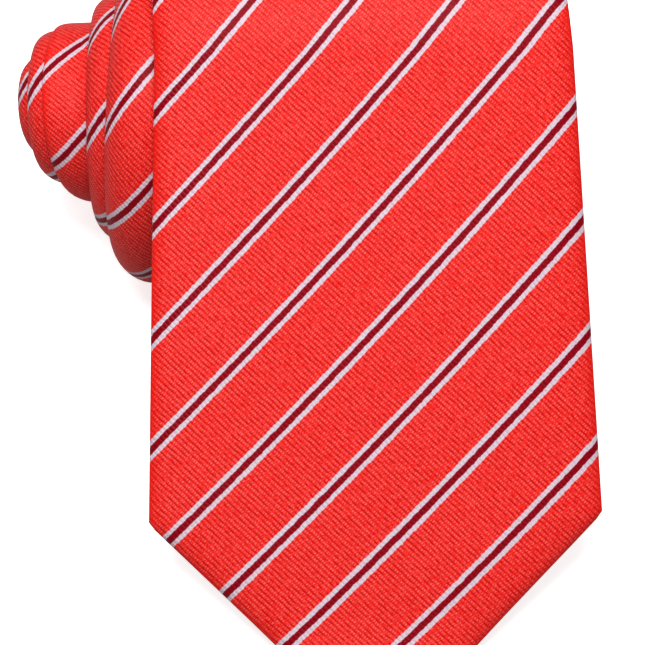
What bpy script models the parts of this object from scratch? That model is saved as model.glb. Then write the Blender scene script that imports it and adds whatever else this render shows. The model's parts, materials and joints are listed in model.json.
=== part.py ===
"""Necktie, folded in half at the neck and loosely rolled up from that fold.

The wide blade is on the outside of the roll. Its free end runs down from the top of the roll as a
straight ramp and its pointed tip lies on the table. The inner turns stand out of the roll's left
side like a telescope and leave a stepped hollow on the right.

Metres, +Z up, +Y away from the blade's tip, +X to the wearer's left hand side of the blade's front.
The cloth is described flat: s runs along the tie from the wide tip, u across it, and h through its
thickness from the front face. One path in the Y-Z plane, the middle of the gap between the tie's two
halves, carries both halves, so they stay parallel through every turn.
"""
import math

import bmesh
import bpy
from mathutils import Matrix, Vector

# ---- the tie laid flat ---------------------------------------------------------------------------
BLADE_WIDTH = 0.085
BLADE_TAPER = 0.037          # loss of half width per metre of length, times one
NECK_WIDTH = 0.032
TAIL_WIDTH = 0.038
TAIL_FULL_LENGTH = 0.160     # the tail keeps nearly its full width over this length
TIP_HEM = 0.0095             # folded border along the two slanted edges of a tip
TIPPING_LENGTH = 0.055       # where the two back flaps have met, from the wide tip
TAIL_TIPPING_LENGTH = 0.036

# ---- layers --------------------------------------------------------------------------------------
CLOTH = 0.00035
LAYER_GAP = 0.00025
INTERLINING = 0.0005
TIE = 2 * CLOTH + 2 * LAYER_GAP + INTERLINING
HALVES_GAP = 0.00045         # between the backs of the two halves
TAIL_SLACK = 0.0013          # more room for the keeper loop and label in the outer turns
EDGE = 0.0005                # rounding of a folded edge
PAD_INSET = 0.0009           # the interlining stops this short of a folded edge
SEAM_GAP = 0.0006            # between the two back flaps along the centre seam
JOIN_GAP = 0.0003            # between two lengths of the same cloth that are separate pieces
BLUNT = 0.0015               # a pointed end stops this short of its corner

# ---- the roll ------------------------------------------------------------------------------------
RAMP_ANGLE = math.radians(32.0)
OUTER_RADIUS = 0.0354        # of the outer turn's front face where the ramp leaves it
TURN_PITCH = 0.007275
TURN_TIGHTENING = 0.00035
TURN_START = 0.06            # in turns, how gently the spiral begins
WIDE_FACTOR = 1.02           # the roll is this much wider than round
FLAT_FACTOR = 0.95           # and the outer turns are this much lower than wide
FLAT_UNTIL = 4.0             # turns, where the roll becomes round again
REST_CUT = 0.95              # the underside is cut level at this part of the height
BULGE = 0.0115               # the outer turn's top bulges this far up the ramp direction
BULGE_END = 0.5              # turns
CORE_SHIFT = 0.00012         # drift of the inner turns up the ramp direction, per turn squared
TURNS = 5.5
CORE_SQUEEZE = 0.0004        # the last turn is this much tighter than the spiral's rule
STEP_DEGREES = 30.0
TAIL_BEYOND = 0.040          # the tail's straight length under the free blade
TIP_CURVE = 0.024            # length over which the tip bends level with the table

# ---- telescoping and curled left edges -----------------------------------------------------------
LEFT_STEP = 0.0079
LEFT_STEP_EASING = 0.00055
CORE_RECESS = 0.0075         # the fold at the core lies this far inside the last visible turn
CURL_WIDTH = 0.0077
CURL_START = 0.12            # turns, where the left edge begins to curl inward
CURL_FULL = 0.69
CURL_DEPTH = 0.0046
CURL_LOSS = 0.00035          # per turn
CORE_CURL_DEPTH = 0.0050

# ---- where the cloth is divided into bodies and lengths -------------------------------------------
TIP_HINGE = 0.058            # from the wide tip
SLIDE_SPLIT = 495.0          # degrees along the roll, between the outer wrap and the core
PIECING_FRONT = 1215.0       # degrees along the roll, joining blade and neck piece
PIECING_REAR = 1245.0        # degrees along the roll, joining neck piece and tail
KEEPER_AT = 0.205
KEEPER_SIZE = (0.046, 0.014, 0.0005)
LABEL_AT = 0.252
LABEL_SIZE = (0.050, 0.030, 0.0004)
CARE_LABEL_FROM_TAIL = 0.150
CARE_LABEL_SIZE = (0.020, 0.026, 0.0003)
BAR_TACK_AT = 0.080
BAR_TACK_FROM_TAIL = 0.060
BAR_TACK_SIZE = (0.0085, 0.0016, 0.0005)

RAMP_UP = (math.cos(RAMP_ANGLE), math.sin(RAMP_ANGLE))
RAMP_OUT = (-math.sin(RAMP_ANGLE), math.cos(RAMP_ANGLE))


def smooth(value, start, end):
    """0 before start, 1 after end, eased between."""
    part = min(1.0, max(0.0, (value - start) / (end - start)))
    return part * part * (3.0 - 2.0 * part)


# ---- the roll's path -----------------------------------------------------------------------------
def start_angle():
    """Ellipse angle where the ramp is tangent to the roll, 0 at the top and growing backward."""
    return -math.degrees(math.atan(math.tan(RAMP_ANGLE) / FLAT_FACTOR))


def turns_at(angle):
    return (angle - start_angle()) / 360.0


def eased(turns):
    if turns <= 0.0:
        return 0.0
    return turns - TURN_START * (1.0 - math.exp(-turns / TURN_START))


def gap_radius(turns):
    """Radius of the middle of the gap between the two halves."""
    count = eased(turns)
    front = OUTER_RADIUS - TURN_PITCH * count + TURN_TIGHTENING * count * count
    front -= CORE_SQUEEZE * smooth(turns, 4.6, 5.0)
    return front - TIE - HALVES_GAP / 2


def flatness(turns):
    return FLAT_FACTOR + (1.0 - FLAT_FACTOR) * min(1.0, turns / FLAT_UNTIL)


def gap_point(angle):
    """(y, z) of the gap's middle about the roll's centre."""
    turns = turns_at(angle)
    radius = gap_radius(turns) * WIDE_FACTOR
    radians = math.radians(angle)
    y = radius * math.sin(radians)
    z = radius * flatness(turns) * math.cos(radians)
    if z < 0.0:
        below = turns_at(round((angle - 180.0) / 360.0) * 360.0 + 180.0)
        level = gap_radius(below) * WIDE_FACTOR * flatness(below) * REST_CUT
        z = max(z, -level)
    along = BULGE * (1.0 - smooth(turns, 0.0, BULGE_END)) + CORE_SHIFT * max(0.0, turns - 0.7) ** 2
    return (y + RAMP_UP[0] * along, z + RAMP_UP[1] * along)


def gap_frame(angle):
    """Point on the gap's middle and its outward normal in the Y-Z plane."""
    step = 2.0
    before = gap_point(max(angle - step, start_angle()))
    after = gap_point(angle + step)
    run = (after[0] - before[0], after[1] - before[1])
    size = math.hypot(*run)
    if angle <= start_angle():
        return gap_point(start_angle()), RAMP_OUT
    return gap_point(angle), (-run[1] / size, run[0] / size)


END_ANGLE = start_angle() + 360.0 * TURNS
REST_LEVEL = -gap_point(180.0)[1] + TIE + HALVES_GAP / 2
TIP_RADIUS = TIP_CURVE / RAMP_ANGLE
TIP_DROP = TIP_RADIUS * (1.0 - math.cos(RAMP_ANGLE))


def ramp_length():
    """Straight length between the tip's curve and the roll, so that roll and tip share the table."""
    offset = TIE + HALVES_GAP / 2
    tangent = gap_point(start_angle())[1] + offset * RAMP_OUT[1] + REST_LEVEL
    return (tangent - TIE - TIP_DROP) / RAMP_UP[1]


FREE_LENGTH = ramp_length() + TIP_CURVE


def measured_lengths():
    """Length of each half's middle from the tangent line, one value a degree."""
    reach = [TIE / 2 + HALVES_GAP / 2, -(TIE / 2 + HALVES_GAP / 2)]
    lengths = [[0.0], [0.0]]
    last = None
    degree = 0
    while start_angle() + degree <= END_ANGLE + 1.0:
        point, normal = gap_frame(start_angle() + degree)
        now = [Vector(point) + Vector(normal) * r for r in reach]
        if last:
            for side in (0, 1):
                lengths[side].append(lengths[side][-1] + (now[side] - last[side]).length)
        last = now
        degree += 1
    return lengths


LENGTHS = measured_lengths()


def length_to(angle, side):
    """Cloth between the tangent line and an angle, on the blade's side 0 or the tail's side 1."""
    place = max(0.0, angle - start_angle())
    index = min(int(place), len(LENGTHS[side]) - 2)
    part = place - index
    return LENGTHS[side][index] * (1.0 - part) + LENGTHS[side][index + 1] * part


FOLD_LENGTH = math.pi * (TIE + HALVES_GAP) / 2
BLADE_SIDE = FREE_LENGTH + length_to(END_ANGLE, 0)
TOTAL_LENGTH = BLADE_SIDE + FOLD_LENGTH + length_to(END_ANGLE, 1) + TAIL_BEYOND


def half_width(s):
    """Half the tie's width at a distance from the wide tip."""
    from_tail = TOTAL_LENGTH - s
    corner = BLADE_WIDTH / 2
    blade = max(NECK_WIDTH / 2, corner - BLADE_TAPER * max(0.0, s - corner))
    widening = (TAIL_WIDTH - NECK_WIDTH) / 2
    tail = NECK_WIDTH / 2 + widening * (1.0 - smooth(from_tail, TAIL_FULL_LENGTH, 3.2 * TAIL_FULL_LENGTH))
    return min(s, from_tail, max(blade, tail) if from_tail < s else blade)


def flap_width(s):
    """Width of each folded back flap. Over a tip the flaps open out and leave the tipping bare."""
    width = half_width(s)
    full = width - SEAM_GAP / 2
    from_tail = TOTAL_LENGTH - s
    hem = TIP_HEM * math.sqrt(2.0)
    if s < TIPPING_LENGTH:
        return min(full, hem + (BLADE_WIDTH / 2 - hem) * smooth(s, 0.030, TIPPING_LENGTH))
    if from_tail < TAIL_TIPPING_LENGTH:
        return min(full, hem + (TAIL_WIDTH / 2 - hem) * smooth(from_tail, 0.022, TAIL_TIPPING_LENGTH))
    return full


# ---- where the cloth lies across the roll --------------------------------------------------------
def left_base(turns):
    count = eased(turns)
    return -LEFT_STEP * count + LEFT_STEP_EASING * count * count


def centre_x(angle, side):
    """Centre line of a half. The tail's half keeps clear of the curled left edges."""
    turns = turns_at(angle)
    blade_s = FREE_LENGTH + length_to(angle, 0)
    blade = left_base(turns) + CORE_RECESS * smooth(turns, 4.55, 5.15) + half_width(blade_s)
    if side == 0:
        return blade
    tail_s = TOTAL_LENGTH - TAIL_BEYOND - length_to(angle, 1)
    clear = left_base(turns) + CORE_RECESS + half_width(tail_s)
    return max(blade, clear)


def curl(angle, inward):
    """Depth of a left edge's inward curl and its slope, a distance in from the edge line."""
    turns = turns_at(angle)
    depth = CURL_DEPTH - CURL_LOSS * turns
    depth += (CORE_CURL_DEPTH - depth) * smooth(turns, 4.0, 4.5)
    depth *= smooth(turns, CURL_START, CURL_FULL) * (1.0 - smooth(turns, 4.75, 5.05))
    rest = 1.0 - max(0.0, inward) / CURL_WIDTH
    if rest <= 0.0 or depth <= 0.0:
        return 0.0, 0.0
    return depth * rest * rest, -2.0 * depth * rest / CURL_WIDTH


# ---- stations: where a cross-section of the cloth stands ------------------------------------------
def ramp_station(s):
    """On the free blade, a distance from the wide tip."""
    back = FREE_LENGTH - max(s, TIP_CURVE)
    tangent = Vector(gap_point(start_angle()))
    point = tangent - Vector(RAMP_UP) * back
    normal = Vector(RAMP_OUT)
    if s < TIP_CURVE:
        turn = (TIP_CURVE - s) / TIP_RADIUS
        front = point + normal * (TIE + HALVES_GAP / 2)
        centre = front + normal * TIP_RADIUS
        slope = RAMP_ANGLE - turn
        normal = Vector((-math.sin(slope), math.cos(slope)))
        point = centre - normal * (TIP_RADIUS + TIE + HALVES_GAP / 2)
    return {"s": s, "point": point, "out": normal, "x": centre_x(start_angle(), 0), "angle": None,
            "reach": HALVES_GAP / 2}


def roll_station(angle, side):
    point, normal = gap_frame(angle)
    out = Vector(normal)
    reach = HALVES_GAP / 2
    if side == 0:
        s = FREE_LENGTH + length_to(angle, 0)
    else:
        s = TOTAL_LENGTH - TAIL_BEYOND - length_to(angle, 1)
        out = -out
        reach += TAIL_SLACK * (1.0 - smooth(turns_at(angle), 0.9, 1.7))
    return {"s": s, "point": Vector(point), "out": out, "x": centre_x(angle, side), "angle": angle,
            "side": side, "reach": reach}


def fold_station(part):
    """Around the fold at the neck, part from 0 on the blade's side to 1 on the tail's side."""
    point, normal = gap_frame(END_ANGLE)
    out = Vector(normal)
    ahead = Vector((out[1], -out[0]))
    turn = math.pi * part
    direction = out * math.cos(turn) + ahead * math.sin(turn)
    return {"s": BLADE_SIDE + FOLD_LENGTH * part, "point": Vector(point), "out": direction,
            "x": centre_x(END_ANGLE, 0), "angle": None, "reach": HALVES_GAP / 2}


def tail_station(beyond):
    """On the tail's straight end, a distance past the tangent line."""
    point = Vector(gap_point(start_angle())) - Vector(RAMP_UP) * beyond
    s = TOTAL_LENGTH - TAIL_BEYOND + beyond
    return {"s": s, "point": point, "out": -Vector(RAMP_OUT), "x": centre_x(start_angle(), 1),
            "angle": None, "reach": HALVES_GAP / 2 + TAIL_SLACK}


def chord_station(angle, side):
    """On the straight chord between the two facet stations around an angle."""
    first = STEP_DEGREES / 2
    low = first + STEP_DEGREES * math.floor((angle - first) / STEP_DEGREES)
    ends = (roll_station(low, side), roll_station(low + STEP_DEGREES, side))
    return {"chord": ends, "part": (angle - low) / STEP_DEGREES}


def place(station, u, h):
    """World point of the cloth's (u, h) at a station, before the object is centred."""
    if "chord" in station:
        before, after = [place(end, u, h) for end in station["chord"]]
        return before.lerp(after, station["part"])
    x = station["x"] + u
    point = station["point"]
    out = station["out"]
    lean = 0.0
    if station["angle"] is not None:
        side = station["side"]
        outward = out if side == 0 else -out
        edge = left_base(turns_at(station["angle"]))
        depth, slope = curl(station["angle"], x - edge)
        point = point - outward * depth
        lean = slope if side == 0 else -slope
    direction = Vector((lean, out[0], out[1])).normalized()
    return Vector((x, point[0], point[1])) + direction * (station["reach"] + TIE - h)


def angles_between(start, end, margin=3.0):
    """Roll angles from start to end with the shared facet angles between them."""
    first = STEP_DEGREES / 2
    sign = 1.0 if end > start else -1.0
    low, high = min(start, end), max(start, end)
    inner = []
    index = math.ceil((low + margin - first) / STEP_DEGREES)
    while first + STEP_DEGREES * index < high - margin:
        inner.append(first + STEP_DEGREES * index)
        index += 1
    if sign < 0:
        inner.reverse()
    return [start] + inner + [end]


def gap_degrees(angle):
    return math.degrees(JOIN_GAP / 2 / (gap_radius(turns_at(angle)) * WIDE_FACTOR))


# ---- cross-sections ------------------------------------------------------------------------------
def curl_points(curled):
    return [EDGE, PAD_INSET, CURL_WIDTH * 0.45, CURL_WIDTH] if curled else [EDGE]


def shell_section(station, curled):
    """Pairs of outer and inner (u, h) points from one back flap's edge round to the other's."""
    width = half_width(station["s"])
    flap = flap_width(station["s"])
    inner_edge = EDGE + 0.0002
    left = curl_points(curled)
    pairs = [((-width + flap, TIE), (-width + flap, TIE - CLOTH))]
    for d in reversed(left):
        pairs.append(((-width + d, TIE), (-width + max(d, inner_edge), TIE - CLOTH)))
    pairs.append(((-width, TIE / 2), (-width + CLOTH, TIE / 2)))
    for d in left:
        pairs.append(((-width + d, 0.0), (-width + max(d, inner_edge), CLOTH)))
    pairs.append(((width - EDGE, 0.0), (width - inner_edge, CLOTH)))
    pairs.append(((width, TIE / 2), (width - CLOTH, TIE / 2)))
    pairs.append(((width - EDGE, TIE), (width - inner_edge, TIE - CLOTH)))
    pairs.append(((width - flap, TIE), (width - flap, TIE - CLOTH)))
    return pairs


def pad_section(station, curled):
    """Pairs of lower and upper points of the interlining inside the shell."""
    width = half_width(station["s"])
    front = CLOTH + LAYER_GAP
    back = TIE - CLOTH - LAYER_GAP
    left = curl_points(curled)[1:] or [PAD_INSET]
    places = [-width + d for d in left] + [width - PAD_INSET]
    return [((u, front), (u, back)) for u in places]


def band_section(width, low, high):
    return [((-width, low), (-width, high)), ((0.0, low), (0.0, high)), ((width, low), (width, high))]


# ---- making objects ------------------------------------------------------------------------------
def material(name, colour, roughness):
    made = bpy.data.materials.new(name)
    made.use_nodes = True
    shader = made.node_tree.nodes["Principled BSDF"]
    shader.inputs["Base Color"].default_value = (*colour, 1.0)
    shader.inputs["Roughness"].default_value = roughness
    shader.inputs["Metallic"].default_value = 0.0
    return made


def make_loft(name, rows, finish):
    """Closed body through a row of cross-sections, each a list of point pairs."""
    mesh = bmesh.new()
    rings = []
    for station, pairs in rows:
        near = [mesh.verts.new(place(station, u, h)) for (u, h), _ in pairs]
        far = [mesh.verts.new(place(station, u, h)) for _, (u, h) in pairs]
        rings.append((near, far))
    count = len(rings[0][0])
    for (near_a, far_a), (near_b, far_b) in zip(rings, rings[1:]):
        loop_a = near_a + far_a[::-1]
        loop_b = near_b + far_b[::-1]
        for i in range(2 * count):
            j = (i + 1) % (2 * count)
            mesh.faces.new((loop_a[i], loop_a[j], loop_b[j], loop_b[i]))
    for near, far in (rings[0], rings[-1]):
        for i in range(count - 1):
            mesh.faces.new((near[i], near[i + 1], far[i + 1], far[i]))
    bmesh.ops.recalc_face_normals(mesh, faces=mesh.faces)
    if mesh.calc_volume(signed=True) < 0.0:
        bmesh.ops.reverse_faces(mesh, faces=mesh.faces)
    data = bpy.data.meshes.new(name)
    mesh.to_mesh(data)
    mesh.free()
    data.materials.append(finish)
    data.shade_smooth()
    data.set_sharp_from_angle(angle=math.radians(50.0))
    made = bpy.data.objects.new(name, data)
    bpy.context.scene.collection.objects.link(made)
    return made


def make_shell(name, stations, finish, curled):
    return make_loft(name, [(st, shell_section(st, curled)) for st in stations], finish)


def make_interlining(name, stations, finish, curled):
    return make_loft(name, [(st, pad_section(st, curled)) for st in stations], finish)


def make_band(name, stations, size, low, finish):
    """Flat band on the back face, size across, along and thick."""
    return make_loft(name, [(st, band_section(size[0] / 2, low, low + size[2])) for st in stations],
                     finish)


def make_tipping(name, stations, finish):
    """Lining panel in the opening between the back flaps of a tip."""
    rows = []
    for station in stations:
        reach = half_width(station["s"]) - flap_width(station["s"]) - JOIN_GAP
        rows.append((station, band_section(max(reach, 0.0004), TIE - CLOTH, TIE)))
    return make_loft(name, rows, finish)


# ---- lists of stations ---------------------------------------------------------------------------
def angle_of_length(s):
    """Roll angle of the blade's side where a distance from the wide tip falls."""
    angle = start_angle()
    while FREE_LENGTH + length_to(angle, 0) < s:
        angle += 0.5
    return angle


def angle_from_tail(distance):
    """Roll angle of the tail's side at a distance from the tail's tip."""
    angle = start_angle()
    while TAIL_BEYOND + length_to(angle, 1) < distance:
        angle += 0.5
    return angle


def tip_stations(start):
    places = [start, 0.008, 0.0135, 0.024, 0.0325, BLADE_WIDTH / 2, 0.050, TIP_HINGE - JOIN_GAP / 2]
    return [ramp_station(s) for s in places if s >= start]


def wrap_stations():
    end = SLIDE_SPLIT - gap_degrees(SLIDE_SPLIT)
    start = start_angle() + gap_degrees(start_angle())
    return [roll_station(a, 0) for a in angles_between(start, end)]


def coil_stations():
    start = SLIDE_SPLIT + gap_degrees(SLIDE_SPLIT)
    end = PIECING_FRONT - gap_degrees(PIECING_FRONT)
    return [roll_station(a, 0) for a in angles_between(start, end)]


def neck_stations():
    start = PIECING_FRONT + gap_degrees(PIECING_FRONT)
    end = PIECING_REAR + gap_degrees(PIECING_REAR)
    blade = [roll_station(a, 0) for a in angles_between(start, END_ANGLE)]
    fold = [fold_station(part / 4) for part in range(1, 4)]
    tail = [roll_station(a, 1) for a in angles_between(END_ANGLE, end)]
    return blade + fold + tail


def tail_roll_stations():
    start = PIECING_REAR - gap_degrees(PIECING_REAR)
    return [roll_station(a, 1) for a in angles_between(start, start_angle() + 1.0)]


def tail_end_stations(stop):
    places = [TAIL_BEYOND - d for d in (0.034, 0.028, 0.022, TAIL_WIDTH / 2, 0.0135, 0.007)]
    return [tail_station(b) for b in places if b < stop] + [tail_station(stop)]


def band_stations(centre, length, side):
    """Stations under a band sewn to the back, its centre given as an angle."""
    spread = math.degrees(length / 2 / (gap_radius(turns_at(centre)) * WIDE_FACTOR))
    return [chord_station(a, side) for a in angles_between(centre - spread, centre + spread, 0.1)]


def empty_at(name, location):
    made = bpy.data.objects.new(name, None)
    made.empty_display_size = 0.01
    made.location = location
    bpy.context.scene.collection.objects.link(made)
    return made


def build():
    for item in list(bpy.data.objects):
        bpy.data.objects.remove(item, do_unlink=True)

    red = (0.78, 0.05, 0.045)
    wool = (0.80, 0.77, 0.70)
    lining = (0.45, 0.02, 0.03)
    thread = (0.50, 0.02, 0.03)

    tip = []
    tip.append(make_shell("blade_tip_shell", tip_stations(BLUNT),
                          material("tip_silk", red, 0.45), False))
    tip.append(make_interlining("blade_tip_interlining", tip_stations(0.008),
                                material("tip_wool", wool, 0.95), False))
    tip.append(make_tipping("blade_tipping",
                            [ramp_station(s) for s in (0.0165, 0.024, 0.0325, 0.0425, 0.050, 0.0535)],
                            material("tipping_silk", lining, 0.5)))

    blade = []
    ramp = [ramp_station(s) for s in (TIP_HINGE + JOIN_GAP / 2, 0.090, FREE_LENGTH - JOIN_GAP / 2)]
    blade.append(make_shell("front_blade_shell", ramp, material("blade_silk", red, 0.45), False))
    blade.append(make_interlining("front_blade_interlining", ramp,
                                  material("blade_wool", wool, 0.95), False))
    tack = [ramp_station(BAR_TACK_AT + BAR_TACK_SIZE[1] * part) for part in (-0.5, 0.0, 0.5)]
    blade.append(make_band("front_bar_tack", tack, BAR_TACK_SIZE, TIE + 0.0001,
                           material("tack_thread", thread, 0.6)))

    fixed = []
    fixed.append(make_shell("blade_wrap_shell", wrap_stations(),
                            material("wrap_silk", red, 0.45), True))
    fixed.append(make_interlining("blade_wrap_interlining", wrap_stations(),
                                  material("wrap_wool", wool, 0.95), True))
    keeper = band_stations(angle_of_length(KEEPER_AT), KEEPER_SIZE[1], 0)
    fixed.append(make_band("keeper_loop", keeper, KEEPER_SIZE, TIE + LAYER_GAP,
                           material("keeper_silk", red, 0.45)))
    label = band_stations(angle_of_length(LABEL_AT), LABEL_SIZE[1], 0)
    fixed.append(make_band("blank_label", label, LABEL_SIZE, TIE + LAYER_GAP,
                           material("label_satin", (0.03, 0.03, 0.06), 0.4)))

    core = []
    core.append(make_shell("coil_blade_shell", coil_stations(), material("coil_silk", red, 0.45), True))
    core.append(make_interlining("coil_blade_interlining", coil_stations(),
                                 material("coil_wool", wool, 0.95), True))
    core.append(make_shell("neck_shell", neck_stations(), material("neck_silk", red, 0.45), True))
    core.append(make_interlining("neck_interlining", neck_stations(),
                                 material("neck_wool", wool, 0.95), True))
    tail_path = tail_roll_stations() + tail_end_stations(TAIL_BEYOND - BLUNT)
    core.append(make_shell("tail_shell", tail_path, material("tail_silk", red, 0.45), False))
    tail_pad_path = tail_roll_stations() + tail_end_stations(TAIL_BEYOND - 0.008)
    core.append(make_interlining("tail_interlining", tail_pad_path,
                                 material("tail_wool", wool, 0.95), False))
    bare = [tail_station(TAIL_BEYOND - d) for d in (0.028, 0.022, TAIL_WIDTH / 2, 0.0155)]
    core.append(make_tipping("tail_tipping", bare,
                             material("tail_lining", lining, 0.5)))
    tail_tack = band_stations(angle_from_tail(BAR_TACK_FROM_TAIL), BAR_TACK_SIZE[1], 1)
    core.append(make_band("rear_bar_tack", tail_tack, BAR_TACK_SIZE, TIE + 0.0001,
                          material("rear_thread", thread, 0.6)))
    care = band_stations(angle_from_tail(CARE_LABEL_FROM_TAIL), CARE_LABEL_SIZE[1], 1)
    core.append(make_band("care_label", care, CARE_LABEL_SIZE, TIE + 0.0001,
                          material("care_satin", (0.80, 0.79, 0.76), 0.5)))

    # Stand the tie on the table with the middle of its bounding box over the origin.
    everything = tip + blade + fixed + core
    points = [v.co for item in everything for v in item.data.vertices]
    low = Vector([min(p[i] for p in points) for i in range(3)])
    high = Vector([max(p[i] for p in points) for i in range(3)])
    shift = Vector((-(low.x + high.x) / 2, -(low.y + high.y) / 2, -low.z))

    lift_at = place(ramp_station(FREE_LENGTH), 0.0, 0.0) + shift
    curl_at = place(ramp_station(TIP_HINGE), 0.0, 0.0) + shift
    slide_at = Vector((0.0, 0.0, REST_LEVEL))
    slide_at.y = shift.y
    groups = [(fixed, None), (blade, empty_at("blade_lift_axis", lift_at)),
              (tip, empty_at("tip_curl_axis", curl_at)), (core, empty_at("core_push_axis", slide_at))]
    for members, anchor in groups:
        origin = anchor.location if anchor else Vector((0.0, 0.0, 0.0))
        for item in members:
            item.data.transform(Matrix.Translation(shift - origin))
            if anchor:
                item.parent = anchor


build()
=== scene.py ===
"""Looks of the rolled necktie: smooth folded silk, interlinings, linings, labels and stitches.

The cloth is described flat: s runs along the tie from the wide tip, u across it, and h through its
thickness from the front face. A station is one cross-section of the tie: its place on the roll's
path in the Y-Z plane, its outward direction there and the x of its left folded edge.
"""
import json
import math

import bpy
import numpy as np
from mathutils import Matrix, Vector


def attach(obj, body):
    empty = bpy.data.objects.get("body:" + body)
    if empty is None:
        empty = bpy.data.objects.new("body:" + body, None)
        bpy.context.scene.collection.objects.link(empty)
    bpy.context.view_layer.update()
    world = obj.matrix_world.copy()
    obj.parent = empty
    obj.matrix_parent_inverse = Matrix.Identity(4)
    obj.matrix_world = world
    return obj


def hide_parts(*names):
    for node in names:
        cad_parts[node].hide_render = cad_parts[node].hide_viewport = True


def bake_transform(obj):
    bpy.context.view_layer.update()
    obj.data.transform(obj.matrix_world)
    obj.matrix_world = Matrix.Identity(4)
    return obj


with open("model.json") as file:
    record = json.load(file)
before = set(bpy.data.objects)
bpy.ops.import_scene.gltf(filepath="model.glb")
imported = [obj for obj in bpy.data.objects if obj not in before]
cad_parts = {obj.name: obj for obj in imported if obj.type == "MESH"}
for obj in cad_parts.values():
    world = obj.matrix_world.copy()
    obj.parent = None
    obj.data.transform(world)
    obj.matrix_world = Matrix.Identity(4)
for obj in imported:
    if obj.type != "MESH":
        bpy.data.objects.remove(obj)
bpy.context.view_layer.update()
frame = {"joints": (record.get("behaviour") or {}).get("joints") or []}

# ---- the tie laid flat, in metres ----------------------------------------------------------------
BLADE_WIDTH = 0.085
BLADE_TAPER = 0.037
NECK_WIDTH = 0.032
TAIL_WIDTH = 0.038
TAIL_FULL_LENGTH = 0.160
TIP_HEM = 0.0095 * math.sqrt(2.0)
OPENING_START = 0.034        # the flaps begin to close over the tipping this far from the wide tip
TIPPING_LENGTH = 0.055
TAIL_OPENING_START = 0.020   # and this far from the tail's tip
TAIL_TIPPING_LENGTH = 0.036
CLOSED = (0.048, 0.060)      # the flaps come to overlap between these distances from the wide tip
TAIL_CLOSED = (0.030, 0.042)
LEFT_OVERLAP = 0.0030        # the left flap runs this far past the centre seam
RIGHT_OVERLAP = 0.0015       # and the right flap laps over it
MITRE_GAP = 0.00005          # left between the two flaps where they meet behind a tip
LAP_RISE = 0.0002
LEFT_LAP = (0.005, 0.011)    # the lap rises over these distances from each flap's free edge
RIGHT_LAP = (0.004, 0.009)
BLUNT = 0.0012               # the silk's mesh begins this far from the point of a tip

# ---- layers --------------------------------------------------------------------------------------
CLOTH = 0.00035
LAYER_GAP = 0.00025
INTERLINING = 0.0005
PAD_INSET = 0.0009           # the interlining stops this far inside the folded edges
TIE = 2 * CLOTH + 2 * LAYER_GAP + INTERLINING
HALVES_GAP = 0.00045         # between the blade's half and the tail's half on the roll
TAIL_SLACK = 0.0013          # more room between them on the outer turn
SLACK_TURNS = (0.9, 1.7)     # where that room closes

# ---- the roll ------------------------------------------------------------------------------------
RAMP_ANGLE = math.radians(32.0)
TIP_CURVE = 0.024            # length over which the tip bends down onto the table
FRONT_RADII = (0.0368, 0.0327, 0.0236, 0.0184, 0.0144, 0.0102, 0.0072)   # at whole turns
LEFT_EDGES = (0.0, -0.0087, -0.0129, -0.0193, -0.0244, -0.0262, -0.0267)
LEFT_BOWS = (0.0, 0.0013, 0.0014, 0.0033, 0.0018, 0.0015, 0.0008)      # towards the viewer's side
CENTRE_DRIFT = (0.0, 0.0003, 0.0001, 0.0005, 0.0016, 0.0022, 0.0024)
CURL_WIDTHS = (0.0086, 0.0076, 0.0062, 0.0059, 0.0050, 0.0042, 0.0040)
TURN_START = 0.06
WIDE_FACTOR = 1.02
FLAT_FACTOR = 0.95
FLAT_UNTIL = 4.0
BULGE = 0.0090               # the outer turn's front stands this much towards the blade's top
BULGE_END = 0.5
TURNS = 5.5
OUTER_LAYERS = 0.0053        # the second turn's underside lies this far above the first one's
INNER_LAYERS = 0.0040
LEVEL_SOFTNESS = 0.0006
TAIL_BEYOND = 0.040
CURL_START = 0.12            # turns
CURL_FULL = 0.69
CURL_STEP = 0.02
CURL_LAST = 4.35             # further in, every turn has the innermost turn's curl
CURL_ENDS = (5.22, 5.42)     # and here it flattens out before the fold
CORE_CURL = 0.0060           # inward curl of the innermost visible turn
ARCH = 0.0017                # the free blade's middle stands this much proud of its edges
ARCH_REACH = 0.0034          # and falls away to them over this width
ARCH_END = 0.3               # turns
RIPPLE = 0.00006             # height of the cloth's faint unevenness
CORE_RECESS = 0.0105         # the neck's fold lies this far inside the left edge
RECESS_TURNS = (5.12, 5.5)
STRAIGHT_UNTIL = 0.35        # turns; the free blade's left edge runs on straight up to here
SINK_DEPTH = 0.0020          # the third turn's left part sinks where no tail lies under it
SINK_TURN = 3.0
SINK_SPREAD = 0.45
SINK_WIDTHS = (0.0065, 0.0120)
TOUCH = 0.0001               # air left where a curled edge comes down on the next turn
SKEWS = (0.03, 0.096, 0.058, 0.052, 0.040, 0.028)     # slope of the left edges across the roll

# ---- where the cloth is divided ------------------------------------------------------------------
TIP_CUT = 0.092              # between the tip's silk and the blade's
WRAP_START = 10.0            # degrees along the roll
SLIDE_START = 375.0
SLIDE_END = 525.0
PIECING_FRONT = 1215.0
PIECING_REAR = 1245.0
KEEPER_AT = 0.205
KEEPER_SIZE = (0.046, 0.014, 0.0005)
LABEL_AT = 0.252
LABEL_SIZE = (0.050, 0.030, 0.0004)
LINING_TUCK = 0.0015         # a tipping runs this far under the flaps
LINING_LEAST = 0.0006
CARE_LABEL_FROM_TAIL = 0.150
CARE_LABEL_SIZE = (0.020, 0.026, 0.0003)
BAR_TACK_AT = 0.080
BAR_TACK_FROM_TAIL = 0.060
BAR_TACK_SIZE = (0.0085, 0.0016)
BAR_TACK_STITCHES = 24
SEAM_STITCH = 0.0030
TACK_THREAD = 0.0002         # radius of each kind of thread
SEAM_THREAD = 0.00014
LABEL_THREAD = 0.00011

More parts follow.
